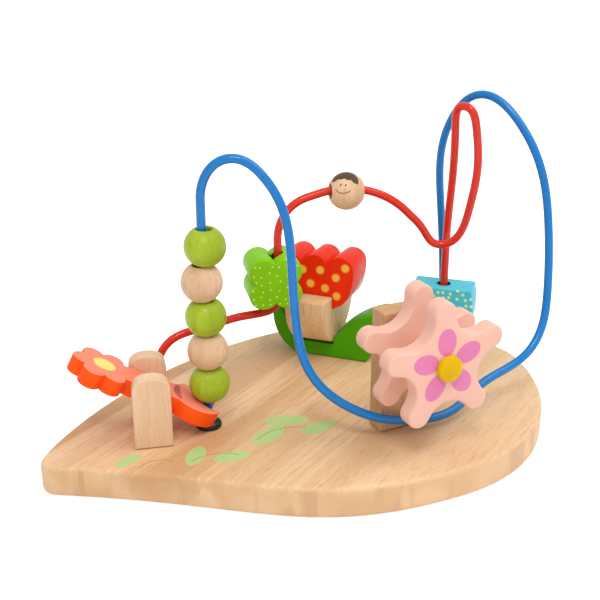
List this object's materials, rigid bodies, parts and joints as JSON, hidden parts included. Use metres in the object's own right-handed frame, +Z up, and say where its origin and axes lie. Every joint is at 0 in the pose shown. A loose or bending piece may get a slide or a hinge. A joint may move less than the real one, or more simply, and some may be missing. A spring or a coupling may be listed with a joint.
{
  "type": "wooden toy activity centre",
  "caption": "Wooden toddler activity centre: a leaf-shaped board with bent bead wires, a flower seesaw under a bead stack, spinning flowers and a rocking tulip.",
  "frame": {"origin": "on the board's flat underside, midway between the leaf's tip and its round end", "axes": "+Z up, +X along the board from the leaf's pointed tip to its round end, +Y to the back of the board"},
  "size_m": [0.308, 0.2055, 0.1875],
  "materials": {
    "wood_natural": "clear satin",
    "wood_orange": "satin paint",
    "wood_stained_green": "satin stain",
    "wood_clover_green": "satin paint with pale dots",
    "wood_leaf_green": "satin paint",
    "wood_red": "satin paint with orange dots",
    "wood_pink": "satin paint with magenta petals",
    "wood_yellow": "satin paint",
    "wood_turquoise": "satin paint with pale dots",
    "wire_blue": "gloss coat",
    "wire_red": "gloss coat",
    "collar_black": "gloss",
    "steel": "plain"
  },
  "bodies": {
    "frame": {"base_board": "wood_natural", "seesaw_post_front": "wood_natural", "seesaw_post_rear": "wood_natural", "seesaw_pin": "steel", "blue_wire": "wire_blue", "red_wire": "wire_red", "collar_blue_front": "collar_black", "collar_blue_rear": "collar_black", "collar_red_front": "collar_black", "collar_red_rear": "collar_black", "flower_post": "wood_natural", "flower_axle": "wood_natural", "flower_spacer_rear": "wood_natural", "flower_spacer_middle": "wood_natural", "flower_hub": "wood_yellow", "leaf_cradle": "wood_leaf_green", "rocker_pin": "steel", "screw_seesaw_front": "steel", "screw_seesaw_rear": "steel", "screw_flower_left": "steel", "screw_flower_right": "steel", "screw_leaf_left": "steel", "screw_leaf_right": "steel"},
    "seesaw": {"seesaw_plank": "wood_orange"},
    "bead_5": {"bead_5_green": "wood_stained_green"},
    "bead_4": {"bead_4_natural": "wood_natural"},
    "bead_3": {"bead_3_green": "wood_stained_green"},
    "bead_2": {"bead_2_natural": "wood_natural"},
    "bead_1": {"bead_1_green": "wood_stained_green"},
    "clover": {"clover_bead": "wood_clover_green"},
    "head": {"head_bead": "wood_natural"},
    "pot": {"pot_bead": "wood_turquoise"},
    "front_flower": {"flower_front": "wood_pink"},
    "rear_flower": {"flower_rear": "wood_pink"},
    "tulip": {"tulip_rocker": "wood_natural", "tulip": "wood_red", "tulip_dowel": "wood_natural"}
  },
  "joints": [
    {"name": "seesaw_tilt", "type": "hinge", "parent": "frame", "child": "seesaw", "pos_m": [-0.0906, 0.0025, 0.0442], "axis": [-0.2419, -0.9703, 0], "range_deg": [0, 48]},
    {"name": "stack_lift", "type": "slide", "parent": "frame", "child": "bead_5", "axis": [0, 0, 1], "range_m": [0, 0.0275]},
    {"name": "bead_4_spin", "type": "hinge", "parent": "bead_5", "child": "bead_4", "pos_m": [-0.05974, -0.00519, 0.06], "axis": [0, 0, 1], "continuous": true},
    {"name": "bead_3_spin", "type": "hinge", "parent": "bead_4", "child": "bead_3", "pos_m": [-0.05974, -0.00519, 0.08], "axis": [0, 0, 1], "continuous": true},
    {"name": "bead_2_spin", "type": "hinge", "parent": "bead_3", "child": "bead_2", "pos_m": [-0.05974, -0.00519, 0.1], "axis": [0, 0, 1], "continuous": true},
    {"name": "bead_1_spin", "type": "hinge", "parent": "bead_2", "child": "bead_1", "pos_m": [-0.05974, -0.00519, 0.12], "axis": [0, 0, 1], "continuous": true},
    {"name": "clover_slide", "type": "slide", "parent": "frame", "child": "clover", "axis": [0, 0, 1], "range_m": [0, 0.008]},
    {"name": "head_glide", "type": "hinge", "parent": "frame", "child": "head", "pos_m": [0.04446, 0.03148, 0.0785], "axis": [0.2554, 0.9668, 0], "range_deg": [-18, 40]},
    {"name": "pot_slide", "type": "slide", "parent": "frame", "child": "pot", "axis": [0, 0, 1], "range_m": [0, 0.024]},
    {"name": "front_flower_spin", "type": "hinge", "parent": "frame", "child": "front_flower", "pos_m": [0.0382, -0.0887, 0.072], "axis": [0, -1, 0], "continuous": true},
    {"name": "rear_flower_spin", "type": "hinge", "parent": "frame", "child": "rear_flower", "pos_m": [0.0382, -0.0635, 0.072], "axis": [0, -1, 0], "continuous": true},
    {"name": "tulip_rock", "type": "hinge", "parent": "frame", "child": "tulip", "pos_m": [0.0432, 0.0596, 0.0305], "axis": [0.6947, -0.7193, 0], "range_deg": [-5, 9]}
  ],
  "couplings": [
    {"joint": "stack_lift", "follows": "seesaw_tilt", "m_per_rad": 0.0321}
  ]
}
